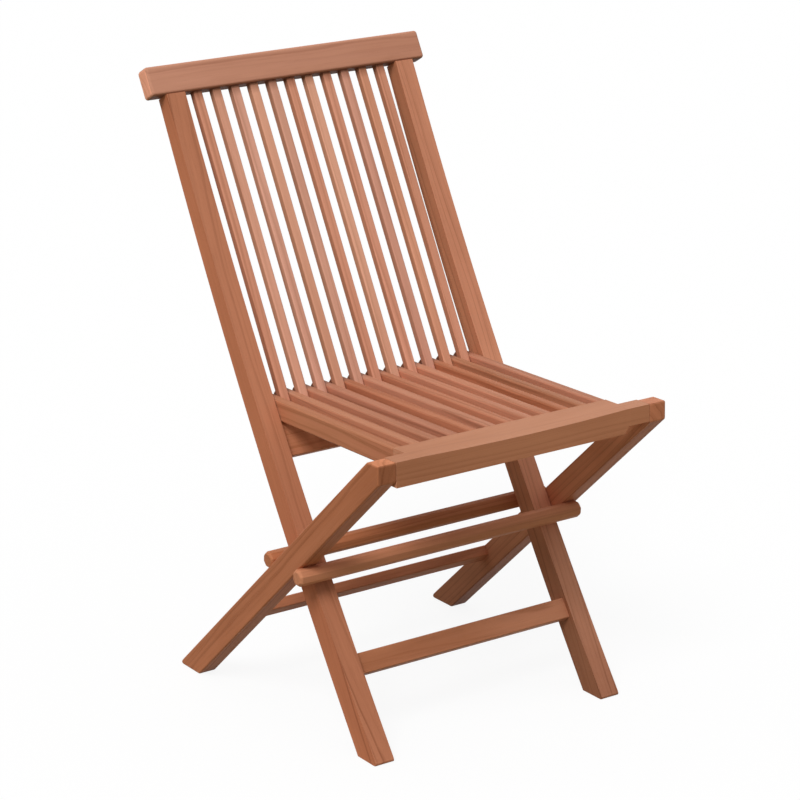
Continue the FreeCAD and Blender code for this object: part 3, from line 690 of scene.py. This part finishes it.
# Rear legs. Above blockLow their inner edges stay sharp, so that the joint with the front rail closes.
legLook = {
    "round": 0.005, "segments": 4, "sharpest": 40.0, "blockLow": 0.42,
    "footRound": 0.011, "footSegments": 4, "footSharpest": 120.0,
    # End grain is darkened on the forward cut of the legs alone: real end grain, partly painted shade.
    "endShade": 0.65, "endFacing": (0, -1, 0), "tone": (1.01, 1.0, 0.98),
    "seeds": {"left": 31.0, "right": 33.0},
    # Painted light: the legs' tops lighter, and on the right leg also its front and its inner side.
    "sides": {
        "left": (((0, 0, 1), (1.3, 1.4, 1.5)),),
        "right": (
            ((0, -1, 0), (1.45, 1.45, 1.4)), ((0, 0, 1), (1.2, 1.3, 1.4)), ((-1, 0, 0), (1.4, 1.6, 1.7)))},
    # Painted shade on the right leg, darker towards the foot.
    "paintedShadingRamps": {"left": (), "right": ((0.22, 0.08, (0.72, 0.68, 0.66)),)},
    "shortestSide": 0.01,    # a side of the outline that is shorter belongs to a corner
    "straightBelow": 3.0,    # degrees between two sides that are one
}


# Corners at which the long straight sides of a leg's outline would meet.
def sharpCorners(outline):
    points = [Vector(point) for point in outline]
    sides = []
    for first, second in zip(points, points[1:] + points[:1]):
        run = second - first
        if run.length < legLook["shortestSide"]:
            continue
        if sides and math.degrees(sides[-1][1].angle(run)) < legLook["straightBelow"]:
            continue
        sides.append((first, run))
    if math.degrees(sides[-1][1].angle(sides[0][1])) < legLook["straightBelow"]:
        sides.pop()
    corners = []
    for (first, run), (second, turn) in zip(sides, sides[1:] + sides[:1]):
        share = np.linalg.solve(np.array([[run.x, -turn.x], [run.y, -turn.y]]), np.array(second - first))[0]
        corners.append(tuple(first + run * share))
    return corners


# A straight leg with the side outline of its CAD piece, its ends cut to the floor and the seat.
def makeLeg(side):
    node = f"rear_leg_{side}"
    low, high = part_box(node)
    made = prism(sharpCorners(hull(node)), low.x, high.x)
    soften(made, legLook["footRound"], legLook["footSegments"], legLook["footSharpest"])
    inner = high.x if side == "left" else low.x
    soften(made, legLook["round"], legLook["segments"], legLook["sharpest"], lambda middle: (
        abs(middle.x - inner) < samePlace and middle.z > legLook["blockLow"]))
    paintedShadingRamps = rampsDown(legLook["paintedShadingRamps"][side])
    cutForRamps(made, paintedShadingRamps)
    pivot, run = legLine()
    along = run.normalized()
    square = Vector((0, along.z, -along.y))
    origin = pivot + xAxis * (low.x + high.x) / 2
    grain = ((xAxis, square, along), origin, legLook["seeds"][side], legLook["endShade"], legLook["endFacing"])
    piece = finishPiece(
        made, f"{node}_wood", "frameTeak", grain, (legLook["tone"], legLook["sides"][side], paintedShadingRamps))
    return fit(piece, "leg_frame", "frame_wood", node)


rodLooks = {
    "cross_rod_front": {
        # The front rod's tone is partly painted light, raised against the seat's shadow on it.
        "facets": 8, "endCut": 0.003, "round": 0.0009, "segments": 2, "seed": 35.0, "tone": (1.14, 1.18, 1.12),
        "body": "leg_frame"},
    "cross_rod_rear": {
        "facets": 8, "endCut": 0.003, "round": 0.0009, "segments": 2, "seed": 37.0, "tone": (0.96, 0.94, 0.9),
        "body": "leg_frame"},
    "seat_rear_rod": {
        "facets": 24, "endCut": 0.001, "round": 0.0003, "segments": 2, "seed": 39.0, "tone": (1.0, 1.0, 1.0),
        "body": "seat"},
}


# The cross rods are faceted, with a flat on the legs' edges; the seat's rear rod is round.
def makeRod(node, look):
    low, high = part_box(node)
    middle = (low + high) / 2
    reach = max((Vector(point) - middle).yz.length for point in vertices(node))
    run = legLine()[1]
    turn = math.atan2(run.z, run.y)
    cut = look["endCut"]
    made = bmesh.new()
    rings = []
    for x, radius in ((low.x, reach - cut), (low.x + cut, reach), (high.x - cut, reach), (high.x, reach - cut)):
        angles = [turn + math.tau * (facet + 0.5) / look["facets"] for facet in range(look["facets"])]
        rings.append([made.verts.new((
            x, middle.y + radius * math.cos(angle), middle.z + radius * math.sin(angle))) for angle in angles])
    for first, second in zip(rings, rings[1:]):
        bridge(made, first, second)
    made.faces.new(rings[0])
    made.faces.new(rings[-1])
    bmesh.ops.recalc_face_normals(made, faces=made.faces)
    soften(made, look["round"], look["segments"])
    axes = (Vector((0, 1, 0)), Vector((0, 0, 1)), xAxis)
    piece = finishPiece(made, f"{node}_wood", "frameTeak", (axes, middle, look["seed"]), (look["tone"],))
    return fit(piece, look["body"], "frame_wood", node)


frontRailLook = {
    "round": 0.004, "segments": 3, "sharpest": 40.0, "dish": 0.003, "dishHalf": 0.17, "stations": 28,
    "rearWithin": 1e-4,    # metres from the rear face within which a point lies on it
    "rampFrom": 0.010, "rampTo": 0.002,    # the underside rises between these distances from the right end's step
    "seed": 53.0, "tone": (0.87, 0.83, 0.76),
    # Painted light and shade: the front face darker and the left end lighter.
    "sides": (((0, -1, 0), (0.95, 0.86, 0.76)), ((-1, 0, 0), (1.35, 1.35, 1.35))),
}


# The seat's front rail, a little dished along its front edge and stepped back at each end.
def makeFrontRail():
    node = "seat_front_rail"
    along, out = pieceFrame(node)
    across, outward, upward = spans(node, (xAxis, out, along))
    points = vertices(node)
    front, rear = upward
    sign = 1 if out.z > 0 else -1
    bottom, top = outward[::sign]
    # The steps are read where the piece's end faces stop.
    ends = points[points[:, 0] > across[1] - samePlace]
    stepRear = max(ends @ np.array(along))
    heights = ends @ np.array(out)
    raised = min(heights) if out.z > 0 else max(heights)
    atRear = points[(points @ np.array(along)) > rear - frontRailLook["rearWithin"]]
    stepInside = max(abs(atRear[:, 0]))
    made = bmesh.new()

    def section(x, back, low):
        dish = frontRailLook["dish"] * max(0.0, 1 - (x / frontRailLook["dishHalf"]) ** 2)
        corners = [(back, top), (front, top - sign * dish), (front, low), (back, low)]
        return [made.verts.new(Vector((x, 0, 0)) + along * place + out * height) for place, height in corners]

    rampFrom, rampTo = stepInside - frontRailLook["rampFrom"], stepInside - frontRailLook["rampTo"]
    sections = [section(across[0], stepRear, bottom), section(-stepInside, stepRear, bottom)]
    for x in np.linspace(-stepInside, rampFrom, frontRailLook["stations"]):
        sections.append(section(x, rear, bottom))
    sections += [section(rampTo, rear, raised), section(stepInside, rear, raised)]
    sections += [section(stepInside, stepRear, raised), section(across[1], stepRear, raised)]
    for first, second in zip(sections, sections[1:]):
        bridge(made, first, second)
    made.faces.new(sections[0])
    made.faces.new(sections[-1])
    bmesh.ops.dissolve_degenerate(made, dist=weldDistance, edges=made.edges)
    bmesh.ops.remove_doubles(made, verts=made.verts, dist=weldDistance)
    bmesh.ops.recalc_face_normals(made, faces=made.faces)
    soften(made, frontRailLook["round"], frontRailLook["segments"], frontRailLook["sharpest"], lambda middle: (
        abs(middle.x) > across[1] - samePlace))
    middle = along * (front + rear) / 2 + out * (top + bottom) / 2
    piece = finishPiece(
        made, f"{node}_wood", "railTeak", ((along, out, xAxis), middle, frontRailLook["seed"]),
        (frontRailLook["tone"], frontRailLook["sides"]))
    return fit(piece, "seat", "rail_wood", node)


for side in ("left", "right"):
    makeStile(side)
    makeLeg(side)
for name, look in bars.items():
    makeBar(name, look)
makeBackSlats()
makeSeatSlats()
for name, look in rodLooks.items():
    makeRod(name, look)
makeFrontRail()
print("pieces made")


# Hidden pins and dowels keep their CAD shapes.
pinSteel = {
    "brush": {"scale": (900.0, 90.0, 90.0), "detail": 2.0, "roughness": 0.5}, "brushRange": (0.3, 0.7),
    "roughness": (0.28, 0.42), "color": (0.55, 0.55, 0.56, 1),
}
dowelWood = {
    "streak": {"scale": (20.0, 400.0, 400.0), "detail": 3.0, "roughness": 0.5},
    "light": (0.50, 0.27, 0.16, 1), "dark": (0.36, 0.18, 0.1, 1), "roughness": 0.6,
}


def makeSteel():
    material, tree, shader = newMaterial("pinSteel")
    place = tree.nodes.new("ShaderNodeTexCoord").outputs["Object"]
    brushed = noise(tree, place, pinSteel["brush"])
    rough = remap(tree, brushed, *pinSteel["brushRange"], *pinSteel["roughness"])
    tree.links.new(rough, shader.inputs["Roughness"])
    shader.inputs["Base Color"].default_value = pinSteel["color"]
    shader.inputs["Metallic"].default_value = 1.0
    return material


def makeDowelWood():
    material, tree, shader = newMaterial("dowelWood")
    place = tree.nodes.new("ShaderNodeTexCoord").outputs["Object"]
    streak = noise(tree, place, dowelWood["streak"])
    tree.links.new(blendColor(tree, streak, dowelWood["light"], dowelWood["dark"]), shader.inputs["Base Color"])
    shader.inputs["Roughness"].default_value = dowelWood["roughness"]
    return material


dowelTeak = makeDowelWood()
hiddenLooks = {"pivot_pin": makeSteel(), "seat_hinge_dowel": dowelTeak, "rod_dowels": dowelTeak}
for name, node in nodes.items():
    for prefix, material in hiddenLooks.items():
        if name.startswith(prefix):
            for slot in node.material_slots:
                slot.material = material
print("hidden pieces finished")


# Studio: a pale floor, an even bright surround and a soft sun from the front left.
studio = {
    "floorHalf": 30.0,
    "floorRoughness": 0.9,
    "floorSeen": (0.98, 0.98, 0.98, 1),
    "floorBounce": (0.29, 0.275, 0.19, 1),
    "whiteShare": 0.9,
    "sunDirection": (-0.54, -0.36, 0.76),
    "sunStrength": 1.75,
    "sunAngle": 25.0,
    "skyTop": 0.85,
    "skyHorizon": 0.05,
    "white": (1.0, 1.0, 1.0, 1),
}


# 1 for what is looked at, directly or in a gloss or glass, and 0 for light on its way to the chair.
def lookedAt(tree):
    path = tree.nodes.new("ShaderNodeLightPath")
    return calculate(tree, "MAXIMUM", path.outputs["Is Camera Ray"], calculate(
        tree, "MAXIMUM", path.outputs["Is Glossy Ray"], path.outputs["Is Transmission Ray"]))


def makeFloor():
    half = studio["floorHalf"]
    corners = ((-half, -half, 0), (half, -half, 0), (half, half, 0), (-half, half, 0))
    mesh = bpy.data.meshes.new("floor")
    mesh.from_pydata(corners, [], [range(len(corners))])
    floor = bpy.data.objects.new("floor", mesh)
    bpy.context.scene.collection.objects.link(floor)
    material, tree, shader = newMaterial("floorPaint")
    shader.inputs["Roughness"].default_value = studio["floorRoughness"]
    shader.inputs["Specular IOR Level"].default_value = 0.0
    seen = lookedAt(tree)
    color = blendColor(tree, seen, studio["floorBounce"], studio["floorSeen"])
    tree.links.new(color, shader.inputs["Base Color"])
    # Part of what is seen of the floor is plain white, so that the shadow stays light.
    white = addNode(tree, "ShaderNodeEmission", {"Color": studio["white"], "Strength": 1.0})
    share = times(tree, seen, studio["whiteShare"])
    mixed = addNode(tree, "ShaderNodeMixShader", links={0: share, 1: shader.outputs[0], 2: white.outputs[0]})
    tree.links.new(mixed.outputs[0], tree.nodes["Material Output"].inputs["Surface"])
    floor.data.materials.append(material)


def makeSky():
    world = bpy.data.worlds.new("studio")
    world.use_nodes = True
    bpy.context.scene.world = world
    tree = world.node_tree
    tree.nodes.clear()
    background = tree.nodes.new("ShaderNodeBackground")
    output = tree.nodes.new("ShaderNodeOutputWorld")
    place = tree.nodes.new("ShaderNodeTexCoord").outputs["Generated"]
    height = addNode(tree, "ShaderNodeSeparateXYZ", links={0: place}).outputs["Z"]
    level = remap(tree, height, 0.0, 1.0, studio["skyHorizon"], studio["skyTop"])
    grey = addNode(tree, "ShaderNodeCombineColor", links={"Red": level, "Green": level, "Blue": level})
    color = blendColor(tree, lookedAt(tree), grey.outputs[0], studio["white"])
    tree.links.new(color, background.inputs["Color"])
    tree.links.new(background.outputs[0], output.inputs["Surface"])


def makeSun():
    lamp = bpy.data.lights.new("sun", "SUN")
    lamp.energy = studio["sunStrength"]
    lamp.angle = math.radians(studio["sunAngle"])
    holder = bpy.data.objects.new("sun", lamp)
    holder.rotation_mode = "QUATERNION"
    holder.rotation_quaternion = Vector(studio["sunDirection"]).to_track_quat("Z", "Y")
    bpy.context.scene.collection.objects.link(holder)


# Camera: a long lens from the front left, a little above the seat, with angles in degrees.
cameraLook = {
    "place": (-2.3018, -3.3280, 1.7296),
    "heading": 34.724,
    "pitch": 17.963,
    "roll": -0.246,
    "lens": 135.39,
    "sensor": 36.0,
}


def makeCamera():
    heading, pitch, roll = (math.radians(cameraLook[key]) for key in ("heading", "pitch", "roll"))
    forward = Vector((math.sin(heading) * math.cos(pitch), math.cos(heading) * math.cos(pitch), -math.sin(pitch)))
    right = Vector((math.cos(heading), -math.sin(heading), 0))
    up = right.cross(forward)
    turnedRight = right * math.cos(roll) + up * math.sin(roll)
    turnedUp = up * math.cos(roll) - right * math.sin(roll)
    lens = bpy.data.cameras.new("camera")
    lens.lens = cameraLook["lens"]
    lens.sensor_width = cameraLook["sensor"]
    camera = bpy.data.objects.new("camera", lens)
    turned = Matrix((turnedRight, turnedUp, -forward)).transposed().to_4x4()
    camera.matrix_world = Matrix.Translation(cameraLook["place"]) @ turned
    bpy.context.scene.collection.objects.link(camera)
    bpy.context.scene.camera = camera


makeFloor()
makeSky()
makeSun()
makeCamera()
bpy.context.scene.view_settings.view_transform = "Standard"
print("studio made")
